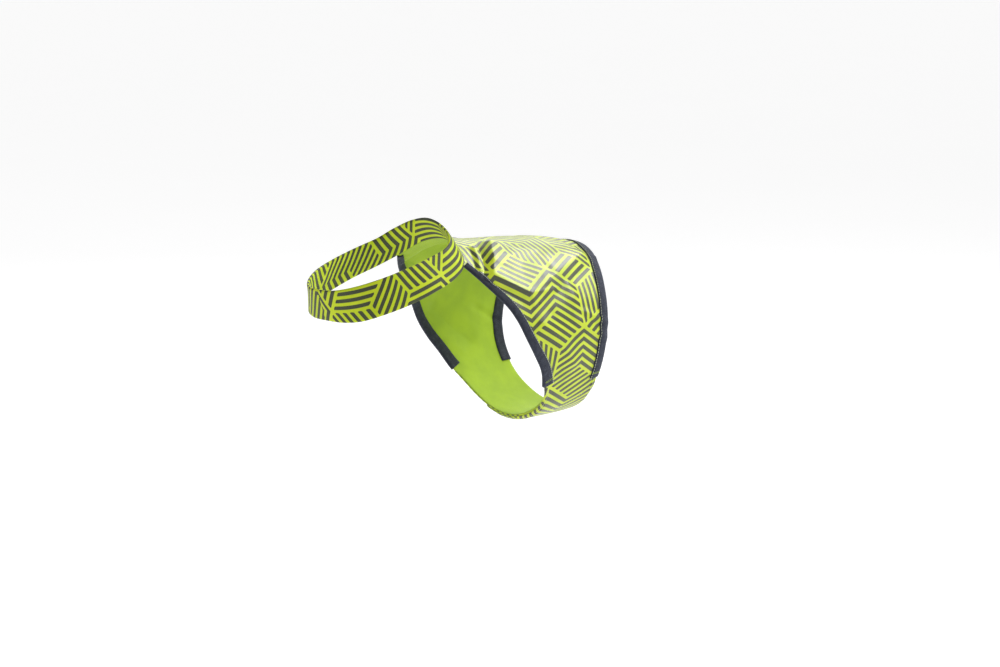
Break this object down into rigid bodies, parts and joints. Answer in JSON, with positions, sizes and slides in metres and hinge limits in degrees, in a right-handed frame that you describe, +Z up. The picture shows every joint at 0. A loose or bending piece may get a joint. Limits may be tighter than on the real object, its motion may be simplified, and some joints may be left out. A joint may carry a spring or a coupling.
{
  "type": "reflective dog vest",
  "caption": "Light dog safety vest: a saddle panel over the back with a hook-and-loop strap under the belly, and a closed band round the neck.",
  "frame": {"origin": "on the inner face of the back panel, on the midline of the back, where the wearer carries the vest", "axes": "+Z up, -Y towards the wearer's head, +X towards the wearer's left side"},
  "size_m": [0.146, 0.2805, 0.1808],
  "materials": {
    "printed_cloth": "lime polyester with grey retroreflective stripes",
    "binding_tape": "matt dark woven tape",
    "fastener": "matt hook-and-loop pile"
  },
  "bodies": {
    "root": {"back_panel": "printed_cloth", "neck_band": "printed_cloth", "loop_patch": "fastener", "hook_patch": "fastener", "armhole_binding_left": "binding_tape", "armhole_binding_right": "binding_tape", "rear_binding": "binding_tape"}
  },
  "joints": []
}
